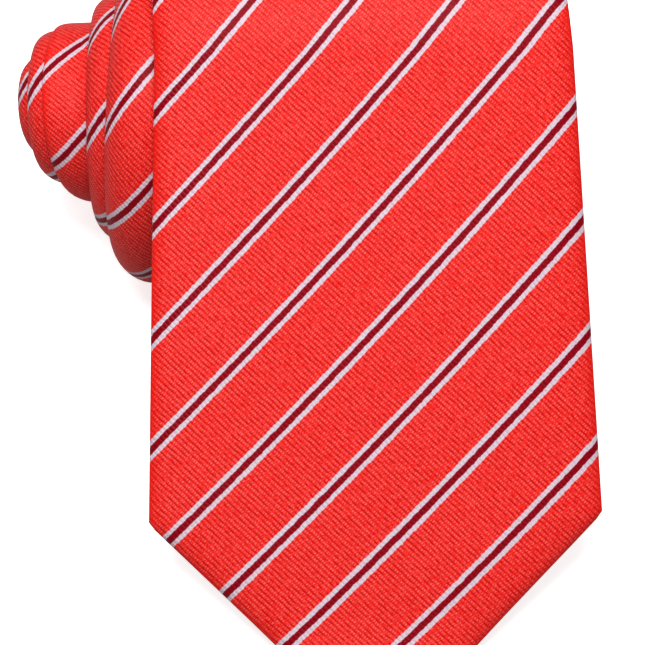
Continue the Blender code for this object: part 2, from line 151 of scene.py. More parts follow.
# ---- how finely it is modelled, and its edges ----------------------------------------------------
FOLD_REACH = 0.0026          # a folded edge is rounded over this much of the width
FOLD_STEPS = 10
FOLD_LIGHT_BAND = 0.0009           # width of the band of painted light along a folded edge: a brighter, more saturated red where the lit edge shows no pale sheen
FRONT_COLUMNS = 44
FLAP_COLUMNS = 12
BAND_COLUMNS = 25
RAMP_STEP = 0.0015           # between stations on the free blade
ROLL_STEP = 0.0019           # and on the roll
FINE_FROM = 700.0            # degrees along the roll, with closer stations further in
FINE_FACTOR = 0.6

JOINTS = {joint["name"]: joint for joint in frame["joints"]}
HINGE = np.array(JOINTS["blade_lift"]["pos_m"])
RAMP_UP = np.array([math.cos(RAMP_ANGLE), math.sin(RAMP_ANGLE)])
RAMP_OUT = np.array([-math.sin(RAMP_ANGLE), math.cos(RAMP_ANGLE)])


def smooth(value, start, end):
    """0 before start, 1 after end, eased between."""
    part = np.clip((np.asarray(value, float) - start) / (end - start), 0.0, 1.0)
    return part * part * (3.0 - 2.0 * part)


def through(values, turns):
    """Smooth curve through values that are given at whole turns."""
    known = np.concatenate([[2 * values[0] - values[1]], values, [values[-1]], [values[-1]]])
    count = np.clip(turns, 0.0, len(values) - 1.001)
    whole = np.floor(count).astype(int)
    part = count - whole
    a, b, c, d = (known[whole + i] for i in range(4))
    return 0.5 * (2 * b + (c - a) * part + (2 * a - 5 * b + 4 * c - d) * part ** 2
                  + (3 * b - a - 3 * c + d) * part ** 3)


# ---- the roll's path -----------------------------------------------------------------------------
START_ANGLE = -math.degrees(math.atan(math.tan(RAMP_ANGLE) / FLAT_FACTOR))
END_ANGLE = START_ANGLE + 360.0 * TURNS


def turns_at(angle):
    """Turns from the line where the free blade leaves the roll."""
    return (np.asarray(angle, float) - START_ANGLE) / 360.0


def front_radius(turns):
    """Radius of the cloth's front face. It starts level, so that the ramp runs on into it."""
    count = np.maximum(turns, 0.0)
    return through(FRONT_RADII, count - TURN_START * (1.0 - np.exp(-count / TURN_START)))


def flatness(turns):
    """Height of a turn for its depth."""
    return FLAT_FACTOR + (1.0 - FLAT_FACTOR) * np.clip(turns / FLAT_UNTIL, 0.0, 1.0)


def round_path(angle):
    """(y, z) of the gap's middle about the roll's centre, without the level underside."""
    turns = turns_at(angle)
    radius = (front_radius(turns) - TIE - HALVES_GAP / 2) * WIDE_FACTOR
    radians = np.radians(angle)
    along = BULGE * (1.0 - smooth(turns, 0.0, BULGE_END)) + through(CENTRE_DRIFT, turns)
    flat = np.stack([radius * np.sin(radians), radius * flatness(turns) * np.cos(radians)], -1)
    return flat + along[..., None] * RAMP_UP


TANGENT_FRONT = round_path(np.array([START_ANGLE]))[0] + RAMP_OUT * (TIE + HALVES_GAP / 2)
CENTRE = HINGE[1:] - TANGENT_FRONT
REST = CENTRE[1] - TIE - HALVES_GAP / 2


def gap_point(angle):
    """(y, z) of the gap's middle. The undersides lie level, one on another."""
    angle = np.asarray(angle, float)
    point = round_path(angle)
    below = np.maximum(turns_at(np.round((angle - 180.0) / 360.0) * 360.0 + 180.0) - 0.5, 0.0)
    level = REST - OUTER_LAYERS * np.minimum(below, 1.0)
    level = level - INNER_LAYERS * np.maximum(below - 1.0, 0.0)
    lifted = LEVEL_SOFTNESS * np.logaddexp(point[..., 1] / LEVEL_SOFTNESS, -level / LEVEL_SOFTNESS)
    point[..., 1] = lifted
    return point


def gap_frame(angle):
    """Points on the gap's middle and their outward normals in the Y-Z plane."""
    angle = np.asarray(angle, float)
    before = gap_point(np.maximum(angle - 1.5, START_ANGLE))
    run = gap_point(angle + 1.5) - before
    run /= np.linalg.norm(run, axis=-1, keepdims=True)
    out = np.stack([-run[..., 1], run[..., 0]], -1)
    out[angle <= START_ANGLE] = RAMP_OUT
    return gap_point(angle), out


TABLE = np.arange(START_ANGLE, END_ANGLE + 1.0, 0.5)


def half_length(reach):
    """Length along the path at an offset from the gap's middle, one value for each table angle."""
    point, out = gap_frame(TABLE)
    line = point + out * reach
    return np.concatenate([[0.0], np.cumsum(np.linalg.norm(np.diff(line, axis=0), axis=1))])


MIDDLE = TIE / 2 + HALVES_GAP / 2
LENGTHS = (half_length(MIDDLE), half_length(-MIDDLE))
TIP_RADIUS = TIP_CURVE / RAMP_ANGLE
TIP_DROP = TIP_RADIUS * (1.0 - math.cos(RAMP_ANGLE))
FREE_LENGTH = (HINGE[2] - TIE - TIP_DROP) / RAMP_UP[1] + TIP_CURVE
FOLD_LENGTH = math.pi * (TIE + HALVES_GAP) / 2


def length_to(angle, side):
    """Length of the blade's half (side 0) or the tail's (side 1) from the tangent line."""
    return np.interp(angle, TABLE, LENGTHS[side])


BLADE_SIDE = FREE_LENGTH + float(length_to(END_ANGLE, 0))
TOTAL_LENGTH = BLADE_SIDE + FOLD_LENGTH + float(length_to(END_ANGLE, 1)) + TAIL_BEYOND


def half_width(s):
    """Half the folded tie's width at a distance from the wide tip."""
    s = np.asarray(s, float)
    from_tail = TOTAL_LENGTH - s
    corner = BLADE_WIDTH / 2
    blade = np.maximum(NECK_WIDTH / 2, corner - BLADE_TAPER * np.maximum(0.0, s - corner))
    widening = (TAIL_WIDTH - NECK_WIDTH) / 2
    narrowing = smooth(from_tail, TAIL_FULL_LENGTH, 3.2 * TAIL_FULL_LENGTH)
    tail = NECK_WIDTH / 2 + widening * (1.0 - narrowing)
    body = np.where(from_tail < s, np.maximum(blade, tail), blade)
    return np.minimum(np.minimum(s, from_tail), body)


def flap_widths(s):
    """Widths of the left and right back flaps. Over a tip they open out and bare the tipping."""
    width = half_width(s)
    from_tail = TOTAL_LENGTH - s
    ends = []
    for away, start, end, full in (
            (s, OPENING_START, TIPPING_LENGTH, BLADE_WIDTH / 2),
            (from_tail, TAIL_OPENING_START, TAIL_TIPPING_LENGTH, TAIL_WIDTH / 2)):
        part = np.clip((away - start) / (end - start), 0.0, 1.0)
        ends.append(np.minimum(width - MITRE_GAP, TIP_HEM + (full - TIP_HEM) * part))
    flap = np.where(s < from_tail, *ends)
    closed = closing(s)
    return flap + LEFT_OVERLAP * closed, flap + RIGHT_OVERLAP * closed


def closing(s):
    """1 where the two flaps overlap along the centre seam, 0 over the tips."""
    return smooth(s, *CLOSED) * smooth(TOTAL_LENGTH - s, *TAIL_CLOSED)


# ---- left edges and their inward curl ------------------------------------------------------------
NO_CURL = 1e-5


def left_edge(angle):
    """x of the outer half's left edge from the free blade's left edge at the tangent line."""
    turns = turns_at(angle)
    skew = through(SKEWS, turns) * front_radius(turns) * np.sin(np.radians(angle - START_ANGLE))
    bow = through(LEFT_BOWS, turns) * np.cos(2.0 * math.pi * turns)
    return through(LEFT_EDGES, turns) - bow + skew * smooth(turns, 0.0, 0.5)


def sink_depth(turns):
    """How far the third turn's left part sinks."""
    return SINK_DEPTH * np.exp(-((turns - SINK_TURN) / SINK_SPREAD) ** 2)


def curl_table():
    """Depth of the curl along the roll: each left edge comes down on the next turn inward."""
    turns = np.arange(0.0, TURNS + 0.001, CURL_STEP)
    angle = START_ANGLE + 360.0 * turns
    point, out = gap_frame(angle)
    edge = left_edge(angle)
    widths = through(CURL_WIDTHS, turns)
    depth = np.full(len(turns), CORE_CURL)
    one_turn = int(round(1.0 / CURL_STEP))
    for i in range(len(turns) - 1 - one_turn, -1, -1):
        if turns[i] > CURL_LAST:
            continue
        j = i + one_turn
        apart = np.dot(point[i] - point[j], out[i])
        inner = 2.0 * math.atan2(depth[j], widths[j])
        radius = widths[j] / max(math.sin(inner), 1e-4)
        sunk = min(1.0, max(0.0, (widths[j] - (edge[i] - edge[j])) / radius))
        drop = radius * (1.0 - math.sqrt(1.0 - sunk * sunk))
        sunk_more = float(sink_depth(turns[j]) - sink_depth(turns[i]))
        depth[i] = max(0.0, apart + drop + sunk_more - TIE - TOUCH)
    depth *= smooth(turns, CURL_START, CURL_FULL) * (1.0 - smooth(turns, *CURL_ENDS))
    return turns, np.maximum(depth, NO_CURL), widths


CURLS = curl_table()


# ---- stations ------------------------------------------------------------------------------------
def station_rows(s, point, out, left, turns=None, reach=HALVES_GAP / 2):
    """Rows of cross-sections. The front face is the far one from the gap, reach + TIE from it.

    Only the blade's half on the roll gives its turns, and has the curl, the sink and the arch.
    """
    count = len(s)
    depth = np.full(count, NO_CURL)
    width = np.full(count, CURL_WIDTHS[0])
    sink = np.zeros(count)
    arch = np.zeros(count)
    if turns is not None:
        depth = np.interp(turns, CURLS[0], CURLS[1])
        width = np.interp(turns, CURLS[0], CURLS[2])
        sink = sink_depth(turns)
        arch = 1.0 - smooth(turns, 0.0, ARCH_END)
    return {"s": np.asarray(s, float), "point": point, "out": out,
            "left": np.asarray(left, float), "depth": depth, "curl": width, "sink": sink,
            "arch": arch, "reach": np.broadcast_to(reach, count).astype(float)}


def joined(parts):
    """Several runs of stations as one."""
    return {key: np.concatenate([part[key] for part in parts]) for key in parts[0]}


def ramp_rows(s):
    """Stations on the free blade: straight down the ramp, then bent level at the tip."""
    s = np.asarray(s, float)
    back = FREE_LENGTH - np.maximum(s, TIP_CURVE)
    middle = HINGE[1:] - RAMP_OUT * (TIE + HALVES_GAP / 2)
    point = middle - back[:, None] * RAMP_UP
    out = np.tile(RAMP_OUT, (len(s), 1))
    bent = s < TIP_CURVE
    slope = RAMP_ANGLE - (TIP_CURVE - s[bent]) / TIP_RADIUS
    front = HINGE[1:] - (FREE_LENGTH - TIP_CURVE) * RAMP_UP
    pivot = front + RAMP_OUT * TIP_RADIUS
    turned = np.stack([-np.sin(slope), np.cos(slope)], -1)
    out[bent] = turned
    point[bent] = pivot - turned * (TIP_RADIUS + TIE + HALVES_GAP / 2)
    rows = station_rows(s, point, out, HINGE[0] - half_width(s))
    rows["arch"] = np.ones(len(s))
    return rows


def roll_rows(angle, side):
    """Stations on the roll, on the blade's half (side 0) or on the tail's half inside it."""
    angle = np.asarray(angle, float)
    turns = turns_at(angle)
    point, out = gap_frame(angle)
    point = point + CENTRE
    start_width = float(half_width(FREE_LENGTH))
    x0 = HINGE[0] - start_width
    edge = left_edge(angle)
    blade_s = FREE_LENGTH + length_to(angle, 0)
    straight = (start_width - half_width(blade_s)) * (1.0 - smooth(turns, 0.0, STRAIGHT_UNTIL))
    blade_left = edge + straight + CORE_RECESS * smooth(turns, *RECESS_TURNS)
    if side == 0:
        return station_rows(blade_s, point, out, x0 + blade_left, turns)
    tail_s = TOTAL_LENGTH - TAIL_BEYOND - length_to(angle, 1)
    centred = blade_left + half_width(blade_s) - half_width(tail_s)
    tail_left = np.maximum(centred, edge + CORE_RECESS)
    slack = TAIL_SLACK * (1.0 - smooth(turns, *SLACK_TURNS))
    return station_rows(tail_s, point, -out, x0 + tail_left, None, HALVES_GAP / 2 + slack)


def fold_rows(part):
    """Around the fold at the neck, part from 0 on the blade's side to 1 on the tail's."""
    part = np.asarray(part, float)
    end = roll_rows(np.array([END_ANGLE]), 0)
    out = end["out"][0]
    ahead = np.array([out[1], -out[0]])
    turn = math.pi * part[:, None]
    count = len(part)
    return station_rows(BLADE_SIDE + FOLD_LENGTH * part, np.tile(end["point"][0], (count, 1)),
                        out * np.cos(turn) + ahead * np.sin(turn),
                        np.repeat(end["left"], count))


def tail_rows(beyond):
    """On the tail's straight end, distances past the tangent line."""
    beyond = np.asarray(beyond, float)
    s = TOTAL_LENGTH - TAIL_BEYOND + beyond
    start = roll_rows(np.array([START_ANGLE]), 1)
    centre = start["left"][0] + float(half_width(TOTAL_LENGTH - TAIL_BEYOND))
    middle = HINGE[1:] - RAMP_OUT * (TIE + HALVES_GAP / 2)
    point = middle - beyond[:, None] * RAMP_UP
    return station_rows(s, point, np.tile(-RAMP_OUT, (len(s), 1)), centre - half_width(s), None,
                        HALVES_GAP / 2 + TAIL_SLACK)


def place(rows, u, h):
    """World points of (u, h) on each station, both arrays with one row a station."""
    column = {key: row[:, None] for key, row in rows.items() if row.ndim == 1}
    width = half_width(column["s"])
    turn = 2.0 * np.arctan2(column["depth"], column["curl"])
    radius = column["curl"] / np.sin(turn)
    arc = radius * turn
    inward = u + width
    angle = turn * np.clip(1.0 - inward / arc, 0.0, 1.0)
    x = column["curl"] - (radius - h) * np.sin(angle) + np.maximum(0.0, inward - arc)
    drop = radius * (1.0 - np.cos(angle)) + h * np.cos(angle)
    drop = drop + column["sink"] * (1.0 - smooth(x, *SINK_WIDTHS))
    wave = column["s"] * 190.0 + 45.0 * u
    cross_wave = 260.0 * u - 70.0 * column["s"]
    ripple = RIPPLE * np.sin(wave) * np.sin(cross_wave)
    fall = [1.0 - np.exp(-np.maximum(width + way * u, 0.0) / ARCH_REACH) for way in (-1.0, 1.0)]
    arch = column["arch"] * ARCH * fall[0] * fall[1]
    out = column["reach"] + TIE - drop + ripple + arch
    point = rows["point"][:, None, :] + rows["out"][:, None, :] * out[..., None]
    return np.stack([column["left"] + x, point[..., 0], point[..., 1]], -1)


# ---- the silk's cross-section --------------------------------------------------------------------
def silk_section(s):
    """Outer face of the folded silk: u, h, its normal in u and h, and the place on the cloth."""
    s = s[:, None]
    width = half_width(s)
    left, right = flap_widths(s)
    lap = LAP_RISE * closing(s)
    fold = np.minimum(FOLD_REACH, 0.90 * width)
    arc = np.linspace(0.0, math.pi, FOLD_STEPS + 1)[None, 1:-1]
    along = np.linspace(0.0, 1.0, FLAP_COLUMNS)[None, :]
    across = np.linspace(0.0, 1.0, FRONT_COLUMNS)[None, :] ** 1.25
    zero = np.zeros_like(s)

    flap_u = -width + left + (fold - left) * along
    flap_h = TIE - lap * (1.0 - smooth(left * along, *LEFT_LAP))
    bend_u = -width + fold - fold * np.sin(arc)
    bend_h = TIE / 2 + TIE / 2 * np.cos(arc) + zero
    front_u = -width + fold + 2.0 * (width - fold) * across
    back_u = width - fold + (fold - right) * along
    back_h = TIE + lap * (1.0 - smooth(right * (1.0 - along), *RIGHT_LAP))
    other_u = width - fold + fold * np.sin(arc)
    other_h = TIE / 2 - TIE / 2 * np.cos(arc)
    u = np.concatenate([flap_u, bend_u, front_u, other_u, back_u], 1)
    h = np.concatenate([flap_h, bend_h, zero + 0.0 * across, other_h + zero, back_h], 1)
    slope = np.hypot(np.sin(arc) / fold, np.cos(arc) / (TIE / 2))
    bend_nu = np.sin(arc) / fold / slope
    bend_nh = np.cos(arc) / (TIE / 2) / slope
    flat_u = np.concatenate([zero * along, -bend_nu, zero * across, bend_nu, zero * along], 1)
    flat_h = np.concatenate([zero * along + 1.0, bend_nh, zero * across - 1.0,
                             -bend_nh, zero * along + 1.0], 1)
    steps = np.hypot(np.diff(u, axis=1), np.diff(h, axis=1))
    travelled = np.concatenate([zero, np.cumsum(steps, axis=1)], 1)
    middle = FLAP_COLUMNS + FOLD_STEPS - 1 + FRONT_COLUMNS // 2
    cloth = travelled - travelled[:, middle:middle + 1] + u[:, middle:middle + 1]
    return u, h, flat_u, flat_h, cloth


# The stripes are numbered by a second-degree curve of two places on the cloth: x across, in units
# of 40 mm from near the blade's middle, and t along, in units of 50 mm from 86 mm above the tip.
STRIPE_SCALE = 1005.6        # the curve's millimetres in a metre
X_ZERO = 0.61
T_ZERO = 86.3
STRIPE_ZERO = 4.54473
STRIPES_PER_X = 1.93714
STRIPES_PER_T = -2.36232
STRIPE_XT = 0.10115
STRIPE_TT = 0.02699
STRIPE_XX = -0.00867
BENT_UNTIL = 1.3             # beyond this t the stripes run on straight
STRIPE_SHIFT = (0.0, -0.40, 0.27, -0.32, -0.25, 0.07)     # at whole turns
STRIPE_LENGTHS = FREE_LENGTH + length_to(START_ANGLE + 360.0 * np.arange(6), 0)
ALONG_STRIPE = (0.698, 0.716)


def weave_place(cloth, s):
    """(stripe number, distance along the stripe in millimetres) on the flat cloth."""
    x = (cloth * STRIPE_SCALE + X_ZERO) / 40.0
    t = (s * STRIPE_SCALE - T_ZERO) / 50.0
    near = np.clip(t, -2.0, BENT_UNTIL)
    square = near ** 2 + 2.0 * BENT_UNTIL * (t - near)
    bend = STRIPE_XT * x * near + STRIPE_TT * square + STRIPE_XX * x ** 2
    turns = np.interp(s, STRIPE_LENGTHS, np.arange(len(STRIPE_LENGTHS)))
    number = STRIPE_ZERO + STRIPES_PER_X * x + STRIPES_PER_T * t + bend
    along = 1000.0 * (ALONG_STRIPE[0] * cloth + ALONG_STRIPE[1] * s)
    return number + through(STRIPE_SHIFT, turns), along


def grid_normals(points):
    """Unit normals of a grid of points, one row a station."""
    down = np.gradient(points, axis=0)
    across = np.gradient(points, axis=1)
    normal = np.cross(down, across)
    return normal / np.maximum(np.linalg.norm(normal, axis=-1, keepdims=True), 1e-12)


def strip_faces(rows, columns):
    """Faces of a closed strip: vertices are rows x columns outside, then the same inside."""
    count = rows * columns
    i, j = np.meshgrid(np.arange(rows - 1), np.arange(columns - 1), indexing="ij")
    a = (i * columns + j).ravel()
    outer = np.stack([a, a + 1, a + columns + 1, a + columns], -1)
    inner = outer[:, ::-1] + count
    k = np.arange(rows - 1) * columns
    first = np.stack([k, k + columns, k + columns + count, k + count], -1)
    k = k + columns - 1
    last = np.stack([k, k + count, k + columns + count, k + columns], -1)
    c = np.arange(columns - 1)
    near = np.stack([c, c + count, c + 1 + count, c + 1], -1)
    c = c + (rows - 1) * columns
    far = np.stack([c, c + 1, c + 1 + count, c + count], -1)
    return np.concatenate([outer, inner, first, last, near, far])


def turned_out(points, faces, normal):
    """The faces, all turned over if the first one doesn't look along the normal."""
    a, b, d = (points[faces[0][i]] for i in (0, 1, 3))
    return faces[:, ::-1] if np.dot(np.cross(b - a, d - a), normal) < 0.0 else faces


def away_from(inside, outside):
    """Unit normals of the outside grid, pointing away from the inside one."""
    normals = grid_normals(outside)
    return -normals if np.sum(normals * (outside - inside)) < 0.0 else normals


def make_mesh(name, points, faces, finish, normals=None, uv=None):
    """A mesh object with its material and slot."""
    data = bpy.data.meshes.new(name)
    data.from_pydata(points.tolist(), [], faces)
    data.materials.append(finish)
    data.shade_smooth()
    if uv is not None:
        layer = data.uv_layers.new(name="weave")
        corner = np.zeros(len(data.loops), dtype=np.int32)
        data.loops.foreach_get("vertex_index", corner)
        layer.data.foreach_set("uv", uv[corner].astype(np.float32).ravel())
    if normals is not None:
        data.normals_split_custom_set_from_vertices(normals.tolist())
    made = bpy.data.objects.new(name, data)
    bpy.context.scene.collection.objects.link(made)
    return made


def make_silk(name, rows, finish):
    """Folded silk through the stations. The first and last station only steer the shading."""
    s = rows["s"]
    u, h, flat_u, flat_h, cloth = silk_section(s)
    outer = place(rows, u, h)
    inner = place(rows, u - CLOTH * flat_u, h - CLOTH * flat_h)
    normals = away_from(inner, outer)
    number, along = weave_place(cloth, s[:, None])
    keep = slice(1, -1)
    outer, inner, normals = (a[keep].reshape(-1, 3) for a in (outer, inner, normals))
    points = np.concatenate([outer, inner])
    uv = np.stack([number[keep].ravel(), along[keep].ravel()], -1)
    faces = strip_faces(len(s) - 2, u.shape[1])
    faces = turned_out(points, faces, normals[faces[0][0]])
    made = make_mesh(name, points, faces.tolist(), finish,
                     np.concatenate([normals, -normals]), np.concatenate([uv, uv]))
    width = half_width(s)[:, None]
    # painted light: how strongly each point near a folded edge takes the brighter red, kept in the
    # fold attribute
    fold = np.exp(-((np.minimum(u + width, width - u) / FOLD_LIGHT_BAND) ** 2))[keep].ravel()
    fold_light = made.data.attributes.new("fold", "FLOAT", "POINT")
    fold_light.data.foreach_set("value", np.concatenate([fold, fold]).astype(np.float32))
    return made


def make_band(name, rows, finish, low, thick, width=None):
    """Flat layer between h = low and low + thick. Its half width may change along it."""
    s = rows["s"]
    reach = half_width(s) - PAD_INSET if width is None else np.broadcast_to(width, s.shape)
    across = np.linspace(-1.0, 1.0, BAND_COLUMNS)[None, :]
    u = reach[:, None] * across
    far = place(rows, u, np.full_like(u, low + thick))
    near = place(rows, u, np.full_like(u, low))
    points = np.concatenate([far.reshape(-1, 3), near.reshape(-1, 3)])
    faces = turned_out(points, strip_faces(len(s), u.shape[1]), away_from(near, far)[0, 0])
    uv = 1000.0 * np.stack([u.ravel(), np.broadcast_to(s[:, None], u.shape).ravel()], -1)
    made = make_mesh(name, points, faces.tolist(), finish, None, np.concatenate([uv, uv]))
    return made


# ---- thread --------------------------------------------------------------------------------------
def tube(line, radius, sides=7):
    """Points and faces of a capped tube along a line of points."""
    line = np.asarray(line, float)
    run = np.gradient(line, axis=0)
    run /= np.linalg.norm(run, axis=1, keepdims=True)
    side = np.cross(run, [0.3, 0.2, 1.0])
    side /= np.linalg.norm(side, axis=1, keepdims=True)
    other = np.cross(run, side)
    turn = np.linspace(0.0, 2.0 * math.pi, sides, endpoint=False)
    along = np.linspace(0.0, 1.0, len(line))
    size = radius * np.minimum(1.0, 0.35 + 4.0 * np.minimum(along, 1.0 - along))
    turn = turn[None, :, None]
    ring = side[:, None] * np.cos(turn) + other[:, None] * np.sin(turn)
    points = (line[:, None] + ring * size[:, None, None]).reshape(-1, 3)
    faces = []
    for i in range(len(line) - 1):
        for j in range(sides):
            k = (j + 1) % sides
            faces.append([i * sides + j, i * sides + k, (i + 1) * sides + k, (i + 1) * sides + j])
    start = list(range(sides))[::-1]
    end = list(range((len(line) - 1) * sides, len(line) * sides))
    return points, faces + [start, end]


def make_threads(name, lines, radius, finish):
    """One object of many separate stitches."""
    points = []
    faces = []
    total = 0
    for line in lines:
        new_points, new_faces = tube(line, radius)
        points.append(new_points)
        faces += [[total + i for i in face] for face in new_faces]
        total += len(new_points)
    return make_mesh(name, np.concatenate(points), faces, finish)


def tack_lines(rows_of, centre, low):
    """Satin stitches side by side across a bar tack, each over the tie's length."""
    lines = []
    for u in np.linspace(-BAR_TACK_SIZE[0] / 2, BAR_TACK_SIZE[0] / 2, BAR_TACK_STITCHES):
        places = centre + BAR_TACK_SIZE[1] * np.linspace(-0.5, 0.5, 7)
        rows = rows_of(places)
        arch = low + 0.00022 * np.sin(np.linspace(0.0, math.pi, 7)) ** 0.5
        lines.append(place(rows, np.full((7, 1), u), arch[:, None])[:, 0])
    return lines


def seam_lines(rows_of, start, end, pitch=0.0075, low=TIE + LAP_RISE):
    """Slip stitches that cross the edge of the right flap."""
    lines = []
    for first in np.arange(start, end, pitch):
        places = first + np.linspace(0.0, SEAM_STITCH, 7)
        u = np.linspace(-RIGHT_OVERLAP - 0.0008, -RIGHT_OVERLAP + 0.0006, 7)
        rise = low + 0.00012 * np.sin(np.linspace(0.0, math.pi, 7))
        rise = rise - 0.00035 * (u < -RIGHT_OVERLAP)
        lines.append(place(rows_of(places), u[:, None], rise[:, None])[:, 0])
    return lines


def edge_lines(rows_of, centre, size, low, inset=0.0009, pitch=0.0022):
    """Running stitches round a label or a keeper."""
    lines = []
    half_u = size[0] / 2 - inset
    half_s = size[1] / 2 - inset
    arch = low + 0.00012 * np.sin(np.linspace(0.0, math.pi, 5))
    for side in (-1.0, 1.0):
        for first in np.arange(-half_u, half_u - pitch / 2, pitch):
            u = first + np.linspace(0.0, 0.6 * pitch, 5)
            rows = rows_of(np.full(5, centre + side * half_s))
            lines.append(place(rows, u[:, None], arch[:, None])[:, 0])
        for first in np.arange(-half_s, half_s - pitch / 2, pitch):
            rows = rows_of(centre + first + np.linspace(0.0, 0.6 * pitch, 5))
            lines.append(place(rows, np.full((5, 1), side * half_u), arch[:, None])[:, 0])
    return lines


# ---- materials -----------------------------------------------------------------------------------
class Nodes:
    """Short way of writing a material's node tree."""

    def __init__(self, name):
        self.material = bpy.data.materials.new(name)
        self.material.use_nodes = True
        self.tree = self.material.node_tree
        self.shader = self.tree.nodes["Principled BSDF"]

    def put(self, socket, value):
        """Links the value to the socket, or sets the socket to it."""
        if isinstance(value, bpy.types.NodeSocket):
            self.tree.links.new(value, socket)
        else:
            socket.default_value = value

    def math(self, operation, *values):
        node = self.tree.nodes.new("ShaderNodeMath")
        node.operation = operation
        for socket, value in zip(node.inputs, values):
            self.put(socket, value)
        return node.outputs[0]

    def ramp(self, value, start, end, low=0.0, high=1.0):
        node = self.tree.nodes.new("ShaderNodeMapRange")
        node.interpolation_type = "SMOOTHSTEP"
        for name, number in (("Value", value), ("From Min", start), ("From Max", end),
                             ("To Min", low), ("To Max", high)):
            self.put(node.inputs[name], number)
        return node.outputs[0]

    def mix(self, factor, first, second):
        node = self.tree.nodes.new("ShaderNodeMix")
        node.data_type = "RGBA"
        self.put(node.inputs[0], factor)
        for socket, value in ((node.inputs[6], first), (node.inputs[7], second)):
            self.put(socket, (*value, 1.0) if isinstance(value, tuple) else value)
        return node.outputs[2]

    def cell(self, value):
        """0 in the middle of every whole step of the value and 0.5 at its ends."""
        return self.math("ABSOLUTE", self.math("SUBTRACT", self.math("FRACT", value), 0.5))

    def jitter(self, scale, amount):
        """Noise about zero."""
        return self.math("MULTIPLY", self.math("SUBTRACT", self.noise(scale), 0.5), amount)

    def weave(self):
        """The two places on the cloth: stripe number or millimetres across, and along."""
        node = self.tree.nodes.new("ShaderNodeUVMap")
        node.uv_map = "weave"
        split = self.tree.nodes.new("ShaderNodeSeparateXYZ")
        self.tree.links.new(node.outputs[0], split.inputs[0])
        return split.outputs[0], split.outputs[1]

    def noise(self, scale, detail=2.0):
        node = self.tree.nodes.new("ShaderNodeTexNoise")
        node.inputs["Scale"].default_value = scale
        node.inputs["Detail"].default_value = detail
        where = self.tree.nodes.new("ShaderNodeNewGeometry")
        self.tree.links.new(where.outputs["Position"], node.inputs["Vector"])
        return node.outputs[0]

    def bump(self, height, distance, strength=1.0):
        node = self.tree.nodes.new("ShaderNodeBump")
        node.inputs["Strength"].default_value = strength
        node.inputs["Distance"].default_value = distance
        self.tree.links.new(height, node.inputs["Height"])
        self.tree.links.new(node.outputs[0], self.shader.inputs["Normal"])

    def finish(self, colour, roughness, sheen=0.0, sheen_tint=(1.0, 1.0, 1.0), specular=0.5):
        self.put(self.shader.inputs["Base Color"], colour)
        self.shader.inputs["Roughness"].default_value = roughness
        self.shader.inputs["Sheen Weight"].default_value = sheen
        self.shader.inputs["Sheen Roughness"].default_value = 0.4
        self.shader.inputs["Sheen Tint"].default_value = (*sheen_tint, 1.0)
        self.shader.inputs["Specular IOR Level"].default_value = specular
        return self.material


# Sizes of the weave in millimetres, and its colours
STRIPE_PITCH = 14.8
RIB_PITCH = 0.88
FLECK_PITCH = 0.52
CORE_HALF = 0.55
BAND_HALF = 1.42
EDGE_BLUR = (0.02, 0.14)
RIB_RED = (0.75, 0.011, 0.009)
# painted shade in the grooves between the ribs; the odd darker thread takes this red too
GROOVE_SHADE_AND_THREAD_RED = (0.42, 0.002, 0.002)
# painted highlight: the pale pink glint of light on the yarn floats
FLECK_GLINT_PINK = (0.92, 0.205, 0.18)
BAND_WHITE = (0.64, 0.55, 0.62)
# painted shade in the grooves across the white borders and, on the next line, across the dark cores
BAND_SHADE = (0.53, 0.41, 0.49)
CORE_GROOVE_SHADE = (0.15, 0.001, 0.008)
CORE_LIGHT = (0.26, 0.002, 0.013)
# painted light: the brighter, more saturated red of a lit folded edge
FOLD_LIGHT_RED = (0.86, 0.012, 0.005)
SHEEN_PINK = (1.0, 0.75, 0.75)


def twill(n, number, along):
    """Ribs across the stripes, the painted shade in their grooves, and flecks on them in brick
    order, paled by a painted glint.
    """
    rib_at = n.math("DIVIDE", n.math("ADD", along, n.jitter(420.0, 0.40)), RIB_PITCH)
    rib = n.cell(rib_at)
    rib_number = n.math("ABSOLUTE", n.math("FLOOR", rib_at))
    odd = n.math("MULTIPLY", n.math("MODULO", rib_number, 2.0), 0.5)
    fleck_at = n.math("DIVIDE", n.math("MULTIPLY", number, STRIPE_PITCH), FLECK_PITCH)
    fleck = n.cell(n.math("ADD", n.math("ADD", fleck_at, odd), n.jitter(900.0, 0.50)))
    broken = n.ramp(n.noise(1000.0), 0.38, 0.60, 0.0, 1.0)
    groove_shade = n.math("MULTIPLY", n.ramp(rib, 0.30, 0.46), broken)
    pale = n.math("MULTIPLY", n.ramp(fleck, 0.16, 0.40, 1.0, 0.0),
                  n.ramp(rib, 0.10, 0.42, 1.0, 0.0))
    pale = n.math("MULTIPLY", pale, n.ramp(n.noise(1500.0), 0.34, 0.58, 0.2, 1.0))
    return rib, groove_shade, pale


def stripe_masks(n, number, rib):
    """(in the dark core, in the core or its white borders), ragged at their edges."""
    nearest = n.math("SUBTRACT", n.math("FRACT", n.math("ADD", number, 0.5)), 0.5)
    away = n.math("MULTIPLY", n.math("ABSOLUTE", nearest), STRIPE_PITCH)
    away = n.math("ADD", away, n.math("ADD", n.math("MULTIPLY", rib, 0.12), n.jitter(800.0, 0.40)))
    return [n.ramp(away, half + EDGE_BLUR[0], half + EDGE_BLUR[1], 1.0, 0.0)
            for half in (CORE_HALF, BAND_HALF)]


